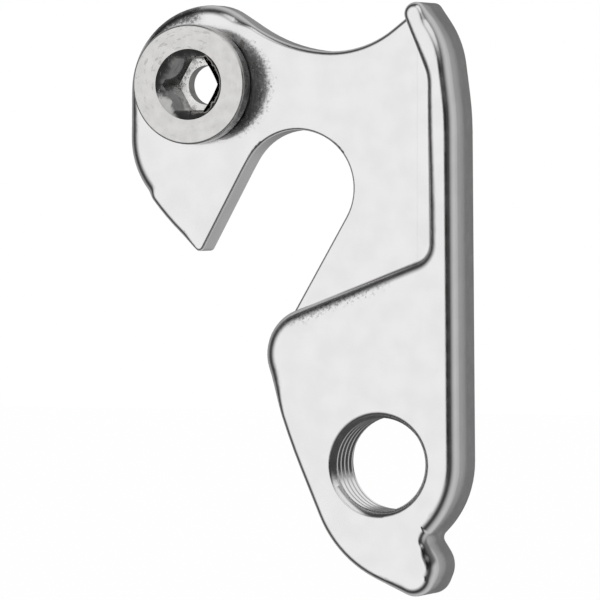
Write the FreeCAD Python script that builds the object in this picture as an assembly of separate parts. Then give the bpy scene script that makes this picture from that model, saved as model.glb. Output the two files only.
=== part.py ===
import FreeCAD, Part
import math
import os

from FreeCAD import Vector

# A bicycle's derailleur hanger, with the hollow bolt that fixes it to the frame.
# Sizes are in millimetres. The origin is on the axis of the derailleur's thread, in the face that the
# frame seats against. X runs across the hanger, Y through it from the wheel side to the outer side,
# and Z up.

# Thickness: the thin leaf that the frame seats on, and the rise of the thick bar in front of that seat
leaf_thickness = 3.3
bar_rise = 2.7
rear_edge = 0.3

# How far a cut runs past the face that it opens in, the distance under which two points are one, the
# shortest straight between two arcs, and how much smaller than its corner's arc an edge's rounding stays
cut_past = 1.0
same_point = 0.001
arc_gap = 0.02
edge_margin = 0.2

# Threaded hole for the derailleur, at the bore that the thread's crests leave
thread_bore = 8.92
thread_lead_in = 10.4
thread_rear_lead_in = 9.9

# Hanger bolt and its hole
bolt_x = -19.88
bolt_z = 36.34
bolt_diameter = 8.0
bolt_clearance = 0.03
bolt_hole_chamfer = 0.3
bolt_length = 6.4
bolt_end_chamfer = 0.45

# Bolt head
head_diameter = 11.6
head_height = 1.7
head_rim_chamfer = 0.35
head_foot_chamfer = 0.12

# Hexagon socket, and the hole through its floor
key_size = 5.0
socket_depth = 4.75
socket_entry = 6.85
socket_entry_depth = 0.7
floor_hole = 3.85

# Axle slot: the centre of its round end, its radius towards the bar and towards the claw, and its lean
slot_x = -9.21
slot_z = 26.24
slot_radius = 5.52
slot_claw_radius = 5.84
slot_lean = 30.6
leaf_edge = 0.3

# Bar: its upright side, the rib along it with a narrow flat between its rounded edges, the crown on top
# of the rib, and the step below the frame's seat
upright_x = 7.53
bar_edge = 1.2
rib_width = 2.85
rib_flat = 0.15
rib_bend_z = 37.0
rib_bend_round = 4.0
rib_lean = 21.2
crown_width = 2.16
crown_z = 44.07
crown_left_round = 1.14
crown_right_round = 0.9
crown_edge = 0.7
step_z = 19.95
step_slope = 21.4
step_round = 1.6

# Corners of the bar: x and z from the upright side and the derailleur's axis, the radius that rounds
# the corner, and the radius of the front edge there. The shoulder's z is from the crown's top.
shoulder = (-0.93, -3.59, 9.1, bar_edge)
upright_top = (0.0, 33.57, 28.6, bar_edge)
heel = (0.32, -3.64, 9.4, bar_edge)
notch = (-3.04, -7.0, 0.7, 0.8)
lobe = (-1.45, -9.46, 2.45, bar_edge)
toe = (-3.0, -13.23, 2.03, 0.95)

# Corners of the bar's other side, from the derailleur's axis
belly_edge = 0.65
belly_low = (-4.45, -8.93, 11.4, belly_edge)
belly = (-9.1, 1.85, 66.0, belly_edge)
bulge_x = -12.92
bulge_round = 4.5

# Corners of the leaf, from the centre of the slot's round end
neck_edge = 0.55
slot_foot = (-0.87, -12.53, 0.0, leaf_edge)
claw_inside = (-5.61, 1.96, 38.5, leaf_edge)
claw_tip = (-10.13, -6.3, 0.5, leaf_edge)
neck_dip = (-1.23, 13.54, 15.2, neck_edge)
neck_rise = (6.57, 12.98, 10.1, neck_edge)

# Corners of the leaf, from the bolt's axis
end_edge = 1.2
claw_outside = (-3.22, -12.87, 27.4, 0.65)
claw_shoulder = (-7.13, -7.86, 8.3, 1.4)
end_outside = (-6.76, 7.2, 8.3, end_edge)
end_inside = (2.67, 7.78, 5.4, end_edge)


def moved(corner, x, z):
    return (corner[0] + x, corner[1] + z, corner[2], corner[3])


def crown_x():
    """Crown's left corner, where the rib's leaning side reaches the crown's height."""
    return upright_x - rib_width - (crown_z - rib_bend_z) * math.tan(math.radians(rib_lean))


def width_at_bend(rib_x):
    """Width of the rib at its bend, from there to the straight side below the shoulder."""
    below = Vector(upright_x + upright_top[0], upright_top[1], 0)
    above = Vector(upright_x + shoulder[0], crown_z + shoulder[1], 0)
    return Vector(rib_x, rib_bend_z, 0).distanceToLine(below, above - below)


def bar_corners():
    """Corners of the thick bar, clockwise from the crown on top of its rib."""
    rib_x = upright_x - rib_width
    slope = math.tan(math.radians(step_slope))
    rib_edge = rib_width - bar_edge - rib_flat
    bend_edge = width_at_bend(rib_x) - bar_edge - rib_flat
    return [
        (crown_x(), crown_z, crown_left_round, crown_edge),
        (crown_x() + crown_width, crown_z, crown_right_round, crown_edge),
        moved(shoulder, upright_x, crown_z),
        moved(upright_top, upright_x, 0),
        moved(heel, upright_x, 0),
        moved(notch, upright_x, 0),
        moved(lobe, upright_x, 0),
        moved(toe, upright_x, 0),
        belly_low,
        belly,
        (bulge_x, step_z - (rib_x - bulge_x) * slope, bulge_round, rib_edge),
        (rib_x, step_z, step_round, rib_edge),
        (rib_x, rib_bend_z, rib_bend_round, bend_edge),
    ]


def slot_corner(side, radius):
    """Corner of the square round the slot's end, on the bar's side (1) or the claw's side (-1)."""
    lean = math.radians(slot_lean)
    x = slot_x + radius * (side * math.cos(lean) + math.sin(lean))
    z = slot_z + radius * (math.cos(lean) - side * math.sin(lean))
    return (x, z, radius, leaf_edge)


def leaf_corners():
    """Corners of the thin leaf, clockwise from the foot of the slot. The last three lie in the bar."""
    rib_middle = upright_x - rib_width / 2
    return [
        moved(slot_foot, slot_x, slot_z),
        slot_corner(1, slot_radius),
        slot_corner(-1, slot_claw_radius),
        moved(claw_inside, slot_x, slot_z),
        moved(claw_tip, slot_x, slot_z),
        moved(claw_outside, bolt_x, bolt_z),
        moved(claw_shoulder, bolt_x, bolt_z),
        moved(end_outside, bolt_x, bolt_z),
        moved(end_inside, bolt_x, bolt_z),
        moved(neck_dip, slot_x, slot_z),
        moved(neck_rise, slot_x, slot_z),
        (crown_x() + crown_width / 2, crown_z - crown_right_round / 2, 0.0, neck_edge),
        (rib_middle, rib_bend_z, 0.0, leaf_edge),
        (rib_middle, step_z - rib_width, 0.0, leaf_edge),
    ]


def rounded_corner(before, corner, after, share):
    """Start, middle and end of the arc at a corner, drawn smaller where share is under 1."""
    arriving = (corner[0] - before[0]).normalize()
    leaving = (after[0] - corner[0]).normalize()
    half_turn = arriving.getAngle(leaving) / 2
    radius = corner[1] * share
    reach = radius * math.tan(half_turn)
    inward = (leaving - arriving).normalize()
    middle = corner[0] + inward * (radius / math.cos(half_turn) - radius)
    return corner[0] - arriving * reach, middle, corner[0] + leaving * reach


def rounded_arcs(corners, y):
    """Arc of each corner. Where two arcs would meet on a side, the one past half of it is drawn smaller."""
    points = [(Vector(corner[0], y, corner[1]), corner[2]) for corner in corners]
    count = len(points)
    full = [rounded_corner(points[i - 1], points[i], points[(i + 1) % count], 1.0) for i in range(count)]
    reach = [points[i][0].distanceToPoint(full[i][0]) for i in range(count)]
    arcs = []
    for i in range(count):
        room = reach[i]
        for j in (i - 1, (i + 1) % count):
            side = points[i][0].distanceToPoint(points[j][0])
            room = min(room, max(side / 2, side - reach[j]) - arc_gap)
        share = room / max(reach[i], same_point)
        arcs.append(rounded_corner(points[i - 1], points[i], points[(i + 1) % count], share))
    return arcs


def rounded_slab(corners, front, rear):
    """Slab from the plane y = front to y = rear, bounded by straight sides and the corners' arcs."""
    arcs = rounded_arcs(corners, front)
    edges = []
    for i, (start, middle, end) in enumerate(arcs):
        previous = arcs[i - 1][2]
        if previous.distanceToPoint(start) > same_point:
            edges.append(Part.LineSegment(previous, start).toShape())
        if start.distanceToPoint(end) > same_point:
            edges.append(Part.Arc(start, middle, end).toShape())
    return Part.Face(Part.Wire(edges)).extrude(Vector(0, rear - front, 0))


def edges_at(slab, y):
    """Numbers and edges of a slab's edges that lie in the plane at y."""
    found = []
    for number, edge in enumerate(slab.Edges, 1):
        box = edge.BoundBox
        if abs(box.YMin - y) < same_point and abs(box.YMax - y) < same_point:
            found.append((number, edge))
    return found


def edge_radius(wanted, arc):
    """Radius of the front edge at a corner. Where the outline bulges, it stays under the corner's arc."""
    if arc[0].distanceToPoint(arc[2]) < same_point:
        return wanted
    bend = Part.Arc(*arc).toShape().Curve
    if bend.Axis.y < 0:
        return wanted
    return min(wanted, bend.Radius - edge_margin)


def soft_edged_slab(corners, front, rear):
    """Rounded slab with its rear edge chamfered, and its front edge rounded as each corner says."""
    arcs = rounded_arcs(corners, front)
    chamfer = min(edge_radius(rear_edge, arc) for arc in arcs)
    slab = rounded_slab(corners, front, rear)
    slab = slab.makeChamfer(chamfer, [edge for number, edge in edges_at(slab, rear)])
    marks = []
    for corner, arc in zip(corners, arcs):
        radius = edge_radius(corner[3], arc)
        marks.append((arc[0], radius))
        marks.append((arc[2], radius))
    radii = []
    for number, edge in edges_at(slab, front):
        ends = []
        for vertex in (edge.firstVertex(), edge.lastVertex()):
            near = [radius for point, radius in marks if point.distanceToPoint(vertex.Point) < 2 * same_point]
            ends.append(min(near))
        radii.append((number, ends[0], ends[1]))
    return rounded_edges(slab, radii)


def rounded_edges(shape, radii):
    """Fillet of the edges given as (number, radius at the start, radius at the end)."""
    document = FreeCAD.newDocument()
    base = document.addObject("Part::Feature", "base")
    base.Shape = shape
    fillet = document.addObject("Part::Fillet", "fillet")
    fillet.Base = base
    fillet.Edges = radii
    document.recompute()
    rounded = fillet.Shape.copy()
    FreeCAD.closeDocument(document.Name)
    return rounded


def turned(profile, x, z):
    """Solid of revolution about the line through x and z along Y, from points of (radius, y)."""
    points = [Vector(radius, y, 0) for radius, y in profile]
    face = Part.Face(Part.makePolygon(points + points[:1]))
    solid = face.revolve(Vector(0, 0, 0), Vector(0, 1, 0), 360)
    solid.translate(Vector(x, 0, z))
    return solid


def threaded_hole():
    """Bore of the derailleur's thread, opened at 45 degrees towards both faces."""
    bore = thread_bore / 2
    front = thread_lead_in / 2
    rear = thread_rear_lead_in / 2
    return turned([
        (0, -bar_rise - cut_past),
        (front + cut_past, -bar_rise - cut_past),
        (bore, -bar_rise + front - bore),
        (bore, leaf_thickness - (rear - bore)),
        (rear + cut_past, leaf_thickness + cut_past),
        (0, leaf_thickness + cut_past),
    ], 0, 0)


def bolt_hole():
    """Hole for the bolt's thread, with a small chamfer at both faces."""
    radius = bolt_diameter / 2 + bolt_clearance
    wide = radius + bolt_hole_chamfer
    return turned([
        (0, -cut_past),
        (wide + cut_past, -cut_past),
        (radius, bolt_hole_chamfer),
        (radius, leaf_thickness - bolt_hole_chamfer),
        (wide + cut_past, leaf_thickness + cut_past),
        (0, leaf_thickness + cut_past),
    ], bolt_x, bolt_z)


def hanger_plate():
    """The forged plate: a thick bar and a thin leaf in one piece, with its two threaded holes."""
    bar = soft_edged_slab(bar_corners(), -bar_rise, leaf_thickness)
    leaf = soft_edged_slab(leaf_corners(), 0, leaf_thickness)
    plate = bar.fuse(leaf).removeSplitter()
    return plate.cut(threaded_hole()).cut(bolt_hole())


def hexagonal_socket():
    """Hexagonal hole with two corners level, a turned entry and a round hole through its floor."""
    corner_radius = key_size / math.sqrt(3)
    corners = []
    for i in range(6):
        angle = math.radians(60 * i)
        x = bolt_x - corner_radius * math.cos(angle)
        z = bolt_z + corner_radius * math.sin(angle)
        corners.append((x, z, 0))
    hexagon = rounded_slab(corners, -head_height - cut_past, socket_depth - head_height)
    entry = turned([
        (0, -head_height - cut_past),
        (socket_entry / 2, -head_height - cut_past),
        (socket_entry / 2, -head_height),
        (key_size / 2, -head_height + socket_entry_depth),
        (0, -head_height + socket_entry_depth),
    ], bolt_x, bolt_z)
    through = turned([
        (0, -head_height),
        (floor_hole / 2, -head_height),
        (floor_hole / 2, bolt_length),
        (0, bolt_length),
    ], bolt_x, bolt_z)
    return hexagon.fuse(entry).fuse(through)


def fixing_bolt():
    """Hollow bolt: a low round head on the frame's seat, and a shank that comes out of the outer face."""
    end = bolt_length - head_height
    shank = bolt_diameter / 2
    head = head_diameter / 2
    body = turned([
        (0, -head_height),
        (head - head_rim_chamfer, -head_height),
        (head, -head_height + head_rim_chamfer),
        (head, -head_foot_chamfer),
        (head - head_foot_chamfer, 0),
        (shank, 0),
        (shank, end - bolt_end_chamfer),
        (shank - bolt_end_chamfer, end),
        (0, end),
    ], bolt_x, bolt_z)
    return body.cut(hexagonal_socket())


os.makedirs("parts", exist_ok=True)
for name, shape in (("hanger_plate", hanger_plate()), ("fixing_bolt", fixing_bolt())):
    print(name, shape.isValid(), len(shape.Solids), round(shape.Volume, 1), shape.BoundBox)
    shape.exportStep("parts/" + name + ".step")
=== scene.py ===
import math

import bmesh
import bpy
from mathutils import Matrix, Vector
from mathutils.kdtree import KDTree


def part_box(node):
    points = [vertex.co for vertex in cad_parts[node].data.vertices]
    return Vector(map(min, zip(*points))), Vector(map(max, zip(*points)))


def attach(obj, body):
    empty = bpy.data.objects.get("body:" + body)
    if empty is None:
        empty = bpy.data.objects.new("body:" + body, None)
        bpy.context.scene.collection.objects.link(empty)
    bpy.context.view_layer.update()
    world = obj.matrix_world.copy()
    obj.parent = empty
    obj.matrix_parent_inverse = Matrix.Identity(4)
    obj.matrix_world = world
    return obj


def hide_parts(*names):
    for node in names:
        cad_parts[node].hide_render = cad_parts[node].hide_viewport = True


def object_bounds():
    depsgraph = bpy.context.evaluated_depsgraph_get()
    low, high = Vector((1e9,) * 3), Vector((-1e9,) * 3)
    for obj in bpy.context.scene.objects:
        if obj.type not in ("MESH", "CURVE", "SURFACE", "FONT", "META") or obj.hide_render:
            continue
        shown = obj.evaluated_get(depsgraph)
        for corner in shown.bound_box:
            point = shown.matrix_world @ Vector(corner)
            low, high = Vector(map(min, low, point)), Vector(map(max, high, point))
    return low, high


# Looks of a forged bicycle derailleur hanger and its hollow bolt, in metres.
mm = 0.001
mergeWithin = 0.0005 * mm  # vertices nearer than this become one
sameWithin = 0.001 * mm  # places nearer than this count as the same

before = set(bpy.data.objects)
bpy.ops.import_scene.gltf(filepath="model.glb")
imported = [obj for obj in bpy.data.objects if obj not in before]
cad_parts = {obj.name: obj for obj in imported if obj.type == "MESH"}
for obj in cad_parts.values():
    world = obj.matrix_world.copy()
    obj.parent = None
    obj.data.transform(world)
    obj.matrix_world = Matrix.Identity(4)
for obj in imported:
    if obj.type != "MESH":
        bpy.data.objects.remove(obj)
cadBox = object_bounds()


def addNode(tree, kind, **sockets):  # an underscore in a socket's name stands for a space
    node = tree.nodes.new(kind)
    for name, value in sockets.items():
        node.inputs[name.replace("_", " ")].default_value = value
    return node


def link(tree, output, node, socket):
    tree.links.new(output, node.inputs[socket])


def maths(tree, operation, first, second=0.0):  # each value is a number or an output
    node = tree.nodes.new("ShaderNodeMath")
    node.operation = operation
    for socket, value in zip(node.inputs, (first, second)):
        if isinstance(value, (int, float)):
            socket.default_value = value
        else:
            tree.links.new(value, socket)
    return node.outputs["Value"]


def product(tree, first, *others):
    for other in others:
        first = maths(tree, "MULTIPLY", first, other)
    return first


def largest(tree, first, *others):
    for other in others:
        first = maths(tree, "MAXIMUM", first, other)
    return first


def vectorMaths(tree, operation, first, second=(0, 0, 0), result="Vector"):
    node = tree.nodes.new("ShaderNodeVectorMath")
    node.operation = operation
    link(tree, first, node, 0)
    node.inputs[1].default_value = second
    return node.outputs[result]


def lengthOf(tree, vector):
    return vectorMaths(tree, "LENGTH", vector, result="Value")


def reachAlong(tree, vector, direction):  # how far a vector reaches in a direction
    return vectorMaths(tree, "DOT_PRODUCT", vector, direction, "Value")


def split(tree, vector):  # the vector's X, Y and Z
    node = addNode(tree, "ShaderNodeSeparateXYZ")
    link(tree, vector, node, "Vector")
    return node.outputs


def ramp(tree, factor, stops):  # stops are (position, grey level)
    node = tree.nodes.new("ShaderNodeValToRGB")
    node.color_ramp.interpolation = "LINEAR"
    elements = node.color_ramp.elements
    while len(elements) < len(stops):
        elements.new(0.5)
    for element, (position, level) in zip(elements, stops):
        element.position = position
        element.color = (level, level, level, 1)
    link(tree, factor, node, "Fac")
    return node.outputs["Color"]


def fade(tree, value, start, end, low=0.0, high=1.0):  # smooth change from low to high
    node = addNode(tree, "ShaderNodeMapRange")
    node.interpolation_type = "SMOOTHSTEP"
    for socket, number in (("From Min", start), ("From Max", end), ("To Min", low), ("To Max", high)):
        node.inputs[socket].default_value = number
    link(tree, value, node, "Value")
    return node.outputs["Result"]


def noise(tree, place, size, detail=2.0, roughness=0.55):
    node = addNode(tree, "ShaderNodeTexNoise", Scale=1 / size, Detail=detail, Roughness=roughness)
    link(tree, place, node, "Vector")
    return node.outputs["Fac"]


def bump(tree, height, depth, normal=None):
    node = addNode(tree, "ShaderNodeBump", Strength=1.0, Distance=depth)
    link(tree, height, node, "Height")
    if normal:
        link(tree, normal, node, "Normal")
    return node.outputs["Normal"]


def newPiece(name, bm):
    mesh = bpy.data.meshes.new(name)
    bm.to_mesh(mesh)
    bm.free()
    piece = bpy.data.objects.new(name, mesh)
    bpy.context.scene.collection.objects.link(piece)
    return piece


# Camera
view = {
    "place": Vector((0.2011, -0.5472, 0.0289)),
    "aim": Vector((-0.00705, -0.00502, 0.01572)),
    "lens": 366,
    "sensor": 36,
    "nearest": 0.01,
    "farthest": 20,
}


def makeCamera():
    data = bpy.data.cameras.new("camera")
    data.lens = view["lens"]
    data.sensor_width = view["sensor"]
    data.clip_start = view["nearest"]
    data.clip_end = view["farthest"]
    camera = bpy.data.objects.new("camera", data)
    camera.location = view["place"]
    camera.rotation_mode = "QUATERNION"
    camera.rotation_quaternion = (view["aim"] - view["place"]).to_track_quat("-Z", "Y")
    bpy.context.scene.collection.objects.link(camera)
    bpy.context.scene.camera = camera


makeCamera()
print("camera placed")

# Surroundings: a white tent open towards the light, with a dark ring round that opening, one window
# high on the right, a dark spot where the camera stands and a darker patch behind the part. Edges are
# in degrees from each direction, and the ring's stops are (degrees, grey level).
surroundings = {
    "lightAxis": Vector((-0.358, -0.933, 0.02)),
    "ring": [
        (0, 0.93), (20, 0.93), (28, 0.72), (37, 0.48), (46, 0.2), (55, 0.065), (62, 0.045), (73, 0.065),
        (83, 0.21), (93, 0.37), (103, 0.47), (113, 0.54), (124, 0.57), (136, 0.55), (150, 0.50), (180, 0.50),
    ],
    "window": Vector((0.34, -0.67, 0.66)), "windowEdge": (18, 34), "windowLight": 0.85,
    "behind": Vector((-0.358, 0.933, -0.02)), "behindEdge": (5, 58), "behindLight": 0.36,
    "cameraEdge": (8, 17), "cameraLight": 0.1,
}


def makeSurroundings():
    world = bpy.data.worlds.new("surroundings")
    bpy.context.scene.world = world
    world.use_nodes = True
    tree = world.node_tree
    tree.nodes.clear()
    direction = addNode(tree, "ShaderNodeTexCoord").outputs["Generated"]

    def angleFrom(axis):  # in half turns
        along = reachAlong(tree, direction, axis.normalized())
        return maths(tree, "DIVIDE", maths(tree, "ARCCOSINE", along), math.pi)

    def patch(axis, edge, inside, outside):  # light that changes over the edge, round an axis
        inner, outer = edge
        return fade(tree, angleFrom(axis), inner / 180, outer / 180, inside, outside)

    stops = [(angle / 180, level) for angle, level in surroundings["ring"]]
    ring = ramp(tree, angleFrom(surroundings["lightAxis"]), stops)
    window = patch(surroundings["window"], surroundings["windowEdge"], surroundings["windowLight"], 0)
    behind = patch(surroundings["behind"], surroundings["behindEdge"], surroundings["behindLight"], 1)
    camera = patch(view["place"] - view["aim"], surroundings["cameraEdge"], surroundings["cameraLight"], 1)
    seen = tree.nodes.new("ShaderNodeLightPath").outputs["Is Camera Ray"]
    strength = largest(tree, product(tree, ring, behind, camera), window, seen)
    background = addNode(tree, "ShaderNodeBackground", Color=(1, 1, 1, 1))
    link(tree, strength, background, "Strength")
    output = tree.nodes.new("ShaderNodeOutputWorld")
    link(tree, background.outputs["Background"], output, "Surface")


makeSurroundings()

# Floor: white paper, whose own shade shows only a little so that it meets the background without a line
floor = {"drop": 0.05 * mm, "size": 400 * mm, "color": (0.95, 0.95, 0.95, 1), "shade": 0.012}


def makeFloor():
    bm = bmesh.new()
    bmesh.ops.create_grid(bm, x_segments=1, y_segments=1, size=floor["size"])
    bmesh.ops.translate(bm, verts=bm.verts, vec=(0, 0, cadBox[0].z - floor["drop"]))
    piece = newPiece("floor", bm)
    material = bpy.data.materials.new("floorPaper")
    material.use_nodes = True
    tree = material.node_tree
    tree.nodes.clear()
    paper = addNode(tree, "ShaderNodeBsdfDiffuse", Color=floor["color"])
    glow = addNode(tree, "ShaderNodeEmission", Color=(1, 1, 1, 1), Strength=1.0)
    path = tree.nodes.new("ShaderNodeLightPath").outputs
    seen = largest(tree, path["Is Camera Ray"], path["Is Transmission Ray"])
    mix = tree.nodes.new("ShaderNodeMixShader")
    link(tree, product(tree, seen, 1 - floor["shade"]), mix, "Fac")
    link(tree, paper.outputs["BSDF"], mix, 1)
    link(tree, glow.outputs["Emission"], mix, 2)
    output = tree.nodes.new("ShaderNodeOutputMaterial")
    link(tree, mix.outputs["Shader"], output, "Surface")
    piece.data.materials.append(material)
    piece.visible_glossy = False  # the metal shows the dark ring of the surroundings below it too


makeFloor()
print("floor and surroundings made")

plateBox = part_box("hanger_plate")
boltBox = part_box("fixing_bolt")
threadAxis = Vector((0, 0, 0))
boltAxis = Vector(((boltBox[0].x + boltBox[1].x) / 2, 0, (boltBox[0].z + boltBox[1].z) / 2))

# Noise that all the metals share: the part of it that shows as mottling, the mottling's detail, and the
# speckle's detail and roughness
metalNoise = {"range": (0.3, 0.7), "mottleDetail": 3.0, "speckle": (3.0, 0.7)}


def makeMetal(name, finish, centre):
    material = bpy.data.materials.new(name)
    material.use_nodes = True
    tree = material.node_tree
    shader = tree.nodes["Principled BSDF"]
    shader.inputs["Metallic"].default_value = 1
    place = tree.nodes.new("ShaderNodeTexCoord").outputs["Object"]
    centred = addNode(tree, "ShaderNodeMapping", Location=-centre)
    link(tree, place, centred, "Vector")
    pattern = centred.outputs["Vector"]

    change = finish["mottle"]
    mottle = noise(tree, pattern, finish["mottleSize"], metalNoise["mottleDetail"])
    mottle = fade(tree, mottle, *metalNoise["range"], 1 - change, 1 + change)
    color = tree.nodes.new("ShaderNodeCombineColor")
    for channel, level in zip(("Red", "Green", "Blue"), finish["color"]):
        link(tree, product(tree, mottle, level), color, channel)
    link(tree, color.outputs["Color"], shader, "Base Color")
    smear = noise(tree, pattern, finish["mottleSize"] / 2)
    link(tree, fade(tree, smear, *metalNoise["range"], *finish["roughness"]), shader, "Roughness")

    normal = bump(tree, noise(tree, pattern, finish["wave"]), finish["waveDepth"])
    detail, roughness = metalNoise["speckle"]
    speckle = noise(tree, pattern, finish["speckle"], detail, roughness)
    normal = bump(tree, speckle, finish["speckleDepth"], normal)
    return material, tree, shader, pattern, normal


def darken(tree, shader, amount):  # takes a share of the base colour away
    source = shader.inputs["Base Color"].links[0].from_socket
    node = tree.nodes.new("ShaderNodeVectorMath")
    node.operation = "SCALE"
    link(tree, source, node, 0)
    link(tree, maths(tree, "SUBTRACT", 1.0, amount), node, "Scale")
    link(tree, node.outputs["Vector"], shader, "Base Color")


def flattened(tree, place):  # a place seen along the threads' axes
    return vectorMaths(tree, "MULTIPLY", place, (1, 0, 1))


def flatFrom(tree, place, centre):
    return flattened(tree, vectorMaths(tree, "SUBTRACT", place, centre))


# Plate: tumbled aluminium
plateFinish = {
    "color": (0.885, 0.876, 0.88), "mottle": 0.03, "mottleSize": 2.4 * mm,
    "roughness": (0.13, 0.20), "speckle": 0.2 * mm, "speckleDepth": 0.004 * mm,
    "wave": 1.6 * mm, "waveDepth": 0.006 * mm,
}

# Shallow round recess beside the bolt's head, and how far its centre is from the bolt's axis
recess = {
    "shift": Vector((3.0 * mm, 0, 0)), "floor": 3.0 * mm, "lip": 5.7 * mm, "depth": 0.34 * mm,
    "wallSteps": 8, "roundSteps": 96, "overFace": 1 / 25,
}

# Coarse grain and painted shade. In the recess beside the bolt's head, on the upper left of the bolt end and
# below the step, the grain dulls and bumps the metal and its flecks carry painted shade. The upper left of
# the bolt end also has a smooth painted shade, and so does the foot of the head inside the recess. Each pair
# is where its zone fades, and front is the depth at which all of it ends.
grainAndPaintedShade = {
    "size": 0.32 * mm, "detail": 4.0, "roughness": 0.75, "depth": 0.028 * mm, "dullness": 0.12,
    "crowding": 0.36, "edge": (0.60, 0.86), "dark": 0.6, "border": (0, 0.2), "front": (0.6 * mm, 1.4 * mm),
    "recessZone": (3.4 * mm, 6.1 * mm),
    "footZone": (6.0 * mm, 7.0 * mm), "footDark": 0.5, "footBack": 1.0 * mm,
    "endZone": (5.6 * mm, 6.6 * mm), "endShare": 0.4, "endTowards": Vector((-0.38, 0, 0.92)),
    "endReach": (0.82, 0.97), "endDark": 0.22,
    "stepFoot": Vector((-8.0 * mm, 0, 14.5 * mm)), "stepTilt": 20.5, "stepZone": (0.2 * mm, 1.8 * mm),
    "stepReach": (5.0 * mm, 12.5 * mm), "stepShare": 0.58, "stepBack": -2.4 * mm,
}

# Dark oval shade in the notch, on its round edge only
notch = {
    "centre": Vector((5.1 * mm, 0, -8.1 * mm)), "size": (0.8 * mm, 1.7 * mm), "edge": (0.7, 1.1),
    "dark": 0.75, "front": -2.69 * mm, "back": (-2.2 * mm, -1.6 * mm),
}

# Bow of the upright side towards the back
bow = {"depth": 0.9 * mm, "boreZone": 5.4 * mm, "side": 3.0 * mm}


def recessZone(tree, pattern):
    fromCentre = lengthOf(tree, flatFrom(tree, pattern, boltAxis + recess["shift"]))
    return fade(tree, fromCentre, *grainAndPaintedShade["recessZone"], 1, 0)


def endZone(tree, pattern):
    place = flatFrom(tree, pattern, boltAxis)
    towards = reachAlong(tree, vectorMaths(tree, "NORMALIZE", place), grainAndPaintedShade["endTowards"].normalized())
    zone = fade(tree, lengthOf(tree, place), *grainAndPaintedShade["endZone"], grainAndPaintedShade["endShare"], 1)
    return product(tree, zone, fade(tree, towards, *grainAndPaintedShade["endReach"]))


def stepZone(tree, pattern, depth):
    tilt = math.radians(grainAndPaintedShade["stepTilt"])
    place = flatFrom(tree, pattern, grainAndPaintedShade["stepFoot"])
    below = reachAlong(tree, place, Vector((math.sin(tilt), 0, -math.cos(tilt))))
    along = reachAlong(tree, place, Vector((math.cos(tilt), 0, math.sin(tilt))))
    zone = fade(tree, below, *grainAndPaintedShade["stepZone"], 1, 0)
    zone = product(tree, zone, fade(tree, along, *grainAndPaintedShade["stepReach"], grainAndPaintedShade["stepShare"], 0))
    zone = product(tree, zone, maths(tree, "LESS_THAN", depth, grainAndPaintedShade["stepBack"]))
    return product(tree, zone, maths(tree, "GREATER_THAN", below, 0.0))


def footShade(tree, pattern, depth, zone):  # shade round the foot of the bolt's head, inside the recess
    fromBolt = lengthOf(tree, flatFrom(tree, pattern, boltAxis))
    shade = fade(tree, fromBolt, *grainAndPaintedShade["footZone"], grainAndPaintedShade["footDark"], 0)
    return product(tree, shade, zone, maths(tree, "LESS_THAN", depth, grainAndPaintedShade["footBack"]))


def notchShade(tree, pattern, depth):
    width, height = notch["size"]
    place = flatFrom(tree, pattern, notch["centre"])
    fromCentre = lengthOf(tree, vectorMaths(tree, "MULTIPLY", place, (1 / width, 1, 1 / height)))
    shade = fade(tree, fromCentre, *notch["edge"], notch["dark"], 0)
    shade = product(tree, shade, maths(tree, "GREATER_THAN", depth, notch["front"]))
    return product(tree, shade, fade(tree, depth, *notch["back"], 1, 0))


def sideBow(tree, pattern, across, depth):  # inwards, by the square of the share of the thickness
    outside = maths(tree, "GREATER_THAN", lengthOf(tree, flattened(tree, pattern)), bow["boreZone"])
    outside = product(tree, outside, maths(tree, "GREATER_THAN", across, bow["side"]))
    thickness = plateBox[1].y - plateBox[0].y
    share = maths(tree, "DIVIDE", maths(tree, "SUBTRACT", depth, plateBox[0].y), thickness)
    return product(tree, share, share, outside, -1.0)


def makePlateMetal():
    material, tree, shader, pattern, normal = makeMetal("plateAluminium", plateFinish, threadAxis)
    place = split(tree, pattern)
    across, depth = place["X"], place["Y"]
    recessPart = recessZone(tree, pattern)
    endPart = endZone(tree, pattern)
    front = fade(tree, depth, *grainAndPaintedShade["front"], 1, 0)
    zone = product(tree, largest(tree, recessPart, endPart, stepZone(tree, pattern, depth)), front)

    grains = noise(tree, pattern, grainAndPaintedShade["size"], grainAndPaintedShade["detail"], grainAndPaintedShade["roughness"])
    crowded = maths(tree, "ADD", grains, product(tree, zone, grainAndPaintedShade["crowding"]))
    # Painted shade: where the grain crowds in the recess, end and step zones its flecks darken the base
    # colour, and the painted shade round the head's foot and in the notch goes on top
    dark = fade(tree, crowded, *grainAndPaintedShade["edge"], 0, grainAndPaintedShade["dark"])
    dark = product(tree, dark, fade(tree, zone, *grainAndPaintedShade["border"]))
    foot = footShade(tree, pattern, depth, recessPart)
    dark = largest(tree, dark, foot, notchShade(tree, pattern, depth))
    # Painted shade, smooth, on the upper left of the bolt end
    endDark = product(tree, endPart, front, grainAndPaintedShade["endDark"])
    darken(tree, shader, maths(tree, "ADD", dark, endDark))

    source = shader.inputs["Roughness"].links[0].from_socket
    link(tree, maths(tree, "ADD", source, product(tree, zone, grainAndPaintedShade["dullness"])), shader, "Roughness")
    normal = bump(tree, product(tree, grains, zone), grainAndPaintedShade["depth"], normal)
    normal = bump(tree, sideBow(tree, pattern, across, depth), bow["depth"], normal)
    link(tree, normal, shader, "Normal")
    return material


# Bolt: dull plating over turned steel. Darker copies of it paint shade on the head's side, the socket's
# mouth and the socket's walls, and a lighter copy paints light on the socket's floor.
boltFinish = {
    "color": (0.72, 0.714, 0.706), "mottle": 0.06, "mottleSize": 0.9 * mm,
    "roughness": (0.16, 0.26), "speckle": 0.16 * mm, "speckleDepth": 0.004 * mm,
    "wave": 1.1 * mm, "waveDepth": 0.006 * mm,
}
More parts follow.
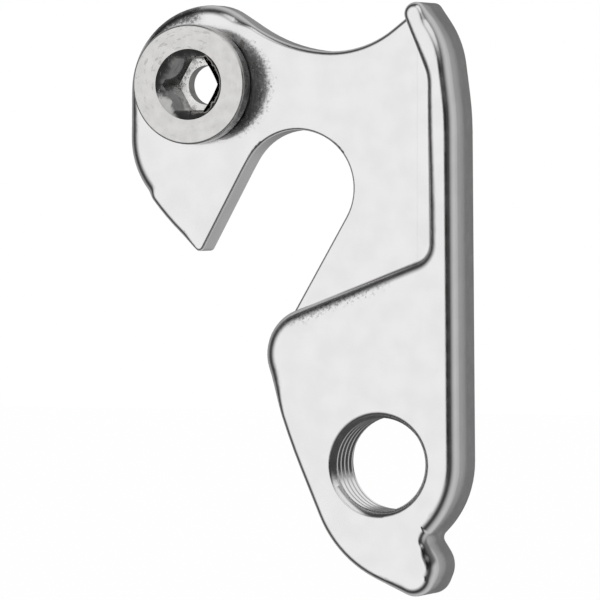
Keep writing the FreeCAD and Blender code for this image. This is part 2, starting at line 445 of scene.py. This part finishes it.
# Painted shade: the head's side, the socket's mouth and the socket's walls are darker copies of the bolt's
# steel
sidePaintedShadeFinish = {**boltFinish, "color": (0.36, 0.355, 0.35), "mottle": 0.35, "mottleSize": 0.7 * mm}
mouthPaintedShadeFinish = {
    **boltFinish, "color": (0.52, 0.515, 0.51), "mottle": 0.1,
    "roughness": (0.05, 0.09), "speckleDepth": 0.001 * mm, "waveDepth": 0.003 * mm,
}
socketPaintedShadeFinish = {**mouthPaintedShadeFinish, "color": (0.27, 0.268, 0.265), "mottle": 0.25}
# Painted light: the socket's floor is a lighter copy of the bolt's steel
socketFloorPaintedLightFinish = {
    **boltFinish, "color": (0.86, 0.855, 0.845), "mottle": 0.12,
    "roughness": (0.12, 0.22), "speckleDepth": 0.01 * mm,
}

# Scuffs along circles round the bolt's axis, most of them on the upper left
scuffs = {
    "width": 0.42 * mm, "length": 4.0, "detail": 3.0, "roughness": 0.7, "edge": (0.54, 0.68),
    "towards": Vector((-0.6, 0, 0.8)), "reach": (-0.2, 0.9), "least": 0.25,
    "dark": 0.25, "depth": 0.01 * mm,
}


def makeBoltMetal(name, finish):
    material, tree, shader, pattern, normal = makeMetal(name, finish, boltAxis)
    flat = flattened(tree, pattern)
    parts = split(tree, flat)
    turn = maths(tree, "ARCTAN2", parts["X"], parts["Z"])
    place = addNode(tree, "ShaderNodeCombineXYZ")
    link(tree, maths(tree, "DIVIDE", lengthOf(tree, flat), scuffs["width"]), place, "X")
    link(tree, product(tree, turn, scuffs["length"]), place, "Y")
    marks = noise(tree, place.outputs["Vector"], 1.0, scuffs["detail"], scuffs["roughness"])
    marks = fade(tree, marks, *scuffs["edge"])
    towards = reachAlong(tree, vectorMaths(tree, "NORMALIZE", flat), scuffs["towards"].normalized())
    marks = product(tree, marks, fade(tree, towards, *scuffs["reach"], scuffs["least"], 1))
    darken(tree, shader, product(tree, marks, scuffs["dark"]))
    link(tree, bump(tree, marks, -scuffs["depth"], normal), shader, "Normal")
    return material


plateMetal = makePlateMetal()
boltMetals = {
    "head": makeBoltMetal("boltSteel", boltFinish),
    "socket": makeBoltMetal("socketSteelPaintedShade", socketPaintedShadeFinish),
    "socketFloor": makeBoltMetal("socketFloorSteelPaintedLight", socketFloorPaintedLightFinish),
    "mouth": makeBoltMetal("mouthSteelPaintedShade", mouthPaintedShadeFinish),
    "side": makeBoltMetal("headSideSteelPaintedShade", sidePaintedShadeFinish),
}
print("metals made")


def turned(name, profile, axis, steps):  # closed profile of (radius, y), spun round an axis along Y
    bm = bmesh.new()
    section = bm.faces.new([bm.verts.new((axis.x + radius, y, axis.z)) for radius, y in profile])
    edges = list(section.edges)
    bm.faces.remove(section)
    bmesh.ops.spin(bm, geom=edges, cent=axis, axis=(0, 1, 0), angle=math.tau, steps=steps, use_merge=True)
    bmesh.ops.remove_doubles(bm, verts=bm.verts, dist=mergeWithin)
    bmesh.ops.recalc_face_normals(bm, faces=bm.faces)
    return newPiece(name, bm)


def coil(name, thread, axis):  # closed helical bar with the thread's groove as its section
    bm = bmesh.new()
    start, end = thread["start"], thread["end"]
    inner, innerWidth = thread["inner"]
    outer, outerWidth = thread["outer"]
    corners = [
        (inner, -innerWidth / 2), (outer, -outerWidth / 2),
        (outer, outerWidth / 2), (inner, innerWidth / 2),
    ]
    section = bm.faces.new([bm.verts.new((axis.x + radius, start + y, axis.z)) for radius, y in corners])
    turns = (end - start) / thread["pitch"]
    count = round(turns * thread["steps"])
    bmesh.ops.spin(
        bm, geom=[section, *section.edges, *section.verts], cent=axis, axis=(0, 1, 0),
        dvec=(0, (end - start) / count, 0), angle=math.tau * turns, steps=count, use_merge=False)
    bmesh.ops.recalc_face_normals(bm, faces=bm.faces)
    return newPiece(name, bm)


def mergedCopy(node, name):  # a solid's mesh as one skin, without its normals and materials
    bm = bmesh.new()
    bm.from_mesh(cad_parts[node].data)
    bmesh.ops.remove_doubles(bm, verts=bm.verts, dist=mergeWithin)
    piece = newPiece(name, bm)
    piece.data.attributes.remove(piece.data.attributes["custom_normal"])
    piece.data.materials.clear()
    return piece


def applyModifiers(piece):
    graph = bpy.context.evaluated_depsgraph_get()
    mesh = bpy.data.meshes.new_from_object(piece.evaluated_get(graph))
    piece.modifiers.clear()
    piece.data = mesh


def cutBy(piece, cutter):
    cut = piece.modifiers.new("cut", "BOOLEAN")
    cut.operation = "DIFFERENCE"
    cut.solver = "EXACT"
    cut.object = cutter
    applyModifiers(piece)
    bpy.data.objects.remove(cutter)


def smoothShade(piece, sharpAngle):
    for polygon in piece.data.polygons:
        polygon.use_smooth = True
    piece.data.set_sharp_from_angle(angle=math.radians(sharpAngle))


def placeInFrame(piece, metals, node):
    piece.data.materials.clear()
    for metal in metals:
        piece.data.materials.append(metal)
    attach(piece, "root")
    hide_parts(node)


# The plate, and the derailleur's thread in it. A thread's groove is cut by a bar of its own section, whose
# inner and outer sides are each (radius, width).
derailleurThread = {
    "pitch": 1.0 * mm, "inner": (4.3 * mm, 0.86 * mm), "outer": (5.0 * mm, 0.12 * mm),
    "start": -3.8 * mm, "end": 4.2 * mm, "steps": 96,
}
plate = {
    "sharpAngle": 32, "flatNormal": 0.9999,
    "leadIn": (5.2 * mm, 4.46 * mm), "leadInTilt": 54, "leadInSlack": 0.06 * mm, "leadInNormal": (0.5, 0.9),
}


def keepSolidNormals(piece, node):
    # the solid's own normals, wherever a corner of the piece is one of the solid's corners
    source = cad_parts[node].data
    loops = [(polygon, index) for polygon in source.polygons for index in polygon.loop_indices]
    tree = KDTree(len(loops))
    facings = []
    normalsThere = []
    for number, (polygon, index) in enumerate(loops):
        tree.insert(source.vertices[source.loops[index].vertex_index].co, number)
        facings.append(polygon.normal.copy())
        normalsThere.append(source.corner_normals[index].vector.copy())
    tree.balance()
    mesh = piece.data
    normals = [corner.vector.copy() for corner in mesh.corner_normals]
    for polygon in mesh.polygons:
        flat = abs(polygon.normal.y) > plate["flatNormal"]
        for index in polygon.loop_indices:
            near = tree.find_range(mesh.vertices[mesh.loops[index].vertex_index].co, sameWithin)
            if flat:
                normals[index] = polygon.normal.copy()
            elif near:
                best = max(near, key=lambda found: facings[found[1]].dot(polygon.normal))
                normals[index] = normalsThere[best[1]]
    mesh.normals_split_custom_set(normals)


def roundLeadIn(piece):  # the cone at the mouth of the thread is shaded as a round edge
    mesh = piece.data
    outer, inner = plate["leadIn"]
    least, most = plate["leadInNormal"]
    normals = [corner.vector.copy() for corner in mesh.corner_normals]
    for polygon in mesh.polygons:
        radius = math.hypot(polygon.center.x, polygon.center.z)
        offCone = (outer - radius) - (polygon.center.y - plateBox[0].y)
        onCone = inner < radius < outer and abs(offCone) < plate["leadInSlack"]
        if onCone and least < abs(polygon.normal.y) < most:
            for index in polygon.loop_indices:
                place = mesh.vertices[mesh.loops[index].vertex_index].co
                radius = math.hypot(place.x, place.z)
                share = min(max((outer - radius) / (outer - inner), 0), 1)
                tilt = math.radians(plate["leadInTilt"]) * math.sqrt(share)
                inward = -math.sin(tilt) / radius
                normals[index] = Vector((inward * place.x, -math.cos(tilt), inward * place.z))
    mesh.normals_split_custom_set(normals)


def recessCutter():
    above = recess["depth"] * recess["overFace"]
    profile = [(0, -above), (0, recess["depth"])]
    for step in range(recess["wallSteps"] + 1):  # a soft wall, on half a cosine wave
        share = step / recess["wallSteps"]
        radius = recess["floor"] + share * (recess["lip"] - recess["floor"])
        profile.append((radius, (recess["depth"] + above) * (1 + math.cos(math.pi * share)) / 2 - above))
    return turned("recessCutter", profile, boltAxis + recess["shift"], recess["roundSteps"])


def makePlate():
    piece = mergedCopy("hanger_plate", "forged_plate")
    cutBy(piece, coil("threadCutter", derailleurThread, threadAxis))
    cutBy(piece, recessCutter())
    smoothShade(piece, plate["sharpAngle"])
    keepSolidNormals(piece, "hanger_plate")
    roundLeadIn(piece)
    placeInFrame(piece, [plateMetal], "hanger_plate")
    print("plate made,", len(piece.data.polygons), "faces, own normals", piece.data.has_custom_normals)


makePlate()

# The bolt, and its own thread
boltEnd = boltBox[1].y
boltThread = {
    "pitch": 1.0 * mm, "inner": (3.5 * mm, 0.12 * mm), "outer": (4.2 * mm, 1.0 * mm),
    "start": 2.6 * mm, "end": boltEnd + 1.0 * mm, "steps": 64,
}
bolt = {
    "headRadius": 5.8 * mm, "headHeight": 1.7 * mm, "rimRound": 0.24 * mm, "rimSegments": 6,
    "footChamfer": 0.12 * mm, "shankRadius": 4.0 * mm, "endChamfer": 0.45 * mm, "steps": 128,
    "keySize": 5.0 * mm, "keySides": 6, "socketDepth": 4.75 * mm,
    "entryRadius": 3.425 * mm, "entryDepth": 0.7 * mm, "holeRadius": 1.925 * mm,
    "drillRadius": 2.87 * mm, "drillSlope": 10, "drillLift": 0.02 * mm,
    "edgeRound": 0.08 * mm, "edgeSegments": 2, "sharpAngle": 28,
}
headFace = -bolt["headHeight"]
socketFloor = headFace + bolt["socketDepth"]

# How the bolt's faces are told apart: limits of a normal's Y on a wall and on a flat face, how well
# a wall faces as the hexagon's sides do, the two depths in the socket, and a little over or under a size
faceTest = {
    "wall": 0.1, "flat": 0.9, "hexagon": -0.95, "mouthStart": 0.01 * mm, "floorReach": 0.5 * mm,
    "over": 1.02, "under": 0.98,
}


def axisDistance(place):
    return math.hypot(place.x - boltAxis.x, place.z - boltAxis.z)


def turnedBolt():
    head, foot = bolt["headRadius"], bolt["footChamfer"]
    shank, chamfer = bolt["shankRadius"], bolt["endChamfer"]
    entryEnd = headFace + bolt["entryDepth"]
    profile = [
        (bolt["entryRadius"], headFace), (head, headFace), (head, -foot), (head - foot, 0), (shank, 0),
        (shank, boltEnd - chamfer), (shank - chamfer, boltEnd), (bolt["holeRadius"], boltEnd),
        (bolt["holeRadius"], entryEnd), (bolt["keySize"] / 2, entryEnd),
    ]
    return turned("hollow_bolt", profile, boltAxis, bolt["steps"])


def keyCutter():  # hexagonal bar with two corners level
    bm = bmesh.new()
    cornerRadius = bolt["keySize"] / math.sqrt(3)
    bmesh.ops.create_cone(bm, cap_ends=True, segments=bolt["keySides"], radius1=cornerRadius,
                          radius2=cornerRadius, depth=2 * bolt["socketDepth"])
    for axis in ("Z", "X"):
        quarterTurn = Matrix.Rotation(math.radians(90), 3, axis)
        bmesh.ops.rotate(bm, verts=bm.verts, cent=(0, 0, 0), matrix=quarterTurn)
    bmesh.ops.translate(bm, verts=bm.verts, vec=boltAxis + Vector((0, headFace, 0)))
    return newPiece("keyCutter", bm)


def drillCutter():  # a cone that crosses the flat floor instead of meeting it in its plane
    drop = math.tan(math.radians(bolt["drillSlope"]))
    tip = socketFloor + bolt["drillRadius"] * drop
    lift = bolt["drillLift"]
    profile = [(0, tip - lift), (bolt["drillRadius"], socketFloor - lift), (0, socketFloor - lift)]
    return turned("drillCutter", profile, boltAxis, bolt["steps"])


def roundEdges(bm, edges, radius, segments, clamp):
    bmesh.ops.bevel(bm, geom=edges, offset=radius, offset_type="OFFSET", affect="EDGES", segments=segments,
                    profile=0.5, material=-1, clamp_overlap=clamp)


def roundBoltEdges(piece):
    # The head's rim comes out round. The clamp on the socket's edges leaves almost nothing of edgeRound, so
    # they stay sharp to the eye, with slivers along them.
    bm = bmesh.new()
    bm.from_mesh(piece.data)
    headCentre = boltAxis + Vector((0, headFace, 0))

    def onRim(place):
        fromCentre = (place - headCentre).length
        return abs(place.y - headFace) < sameWithin and abs(fromCentre - bolt["headRadius"]) < sameWithin

    def inSocket(place):
        deepest = headFace + bolt["socketDepth"] * faceTest["over"]
        return axisDistance(place) < bolt["entryRadius"] * faceTest["over"] and place.y < deepest

    rim = [edge for edge in bm.edges if all(onRim(vertex.co) for vertex in edge.verts)]
    roundEdges(bm, rim, bolt["rimRound"], bolt["rimSegments"], False)
    sharp = [edge for edge in bm.edges if edge.calc_face_angle(0) > math.radians(bolt["sharpAngle"])]
    socket = [edge for edge in sharp if all(inSocket(vertex.co) for vertex in edge.verts)]
    roundEdges(bm, socket, bolt["edgeRound"], bolt["edgeSegments"], True)
    bm.to_mesh(piece.data)
    bm.free()
    return len(rim)


def metalOf(polygon):  # name of the bolt's metal on a face
    centre = polygon.center
    fromAxis = axisDistance(centre)
    flatness = abs(polygon.normal.y)  # 1 on a face square to the axis, 0 on a wall along it
    isWall = flatness < faceTest["wall"]
    if isWall and fromAxis > bolt["headRadius"] * faceTest["under"]:
        return "side"
    if fromAxis >= bolt["entryRadius"] or centre.y <= headFace + faceTest["mouthStart"]:
        return "head"
    facing = math.atan2(polygon.normal.z, polygon.normal.x)
    onHexagon = math.cos(bolt["keySides"] * facing) < faceTest["hexagon"]
    if isWall and (onHexagon or fromAxis < bolt["holeRadius"] * faceTest["over"]):
        return "socket"
    if flatness > faceTest["flat"] and abs(centre.y - socketFloor) < faceTest["floorReach"]:
        return "socketFloor"
    return "mouth" if centre.y < socketFloor else "head"


def makeBolt():
    piece = turnedBolt()
    cutBy(piece, coil("boltThreadCutter", boltThread, boltAxis))
    cutBy(piece, keyCutter())
    cutBy(piece, drillCutter())
    rimEdges = roundBoltEdges(piece)
    smoothShade(piece, bolt["sharpAngle"])
    weighted = piece.modifiers.new("flatFaces", "WEIGHTED_NORMAL")
    weighted.keep_sharp = True
    placeInFrame(piece, boltMetals.values(), "fixing_bolt")
    slots = list(boltMetals)
    for polygon in piece.data.polygons:
        polygon.material_index = slots.index(metalOf(polygon))
    print("bolt made,", len(piece.data.polygons), "faces, rim edges", rimEdges)


makeBolt()

bpy.context.scene.view_settings.view_transform = "Standard"
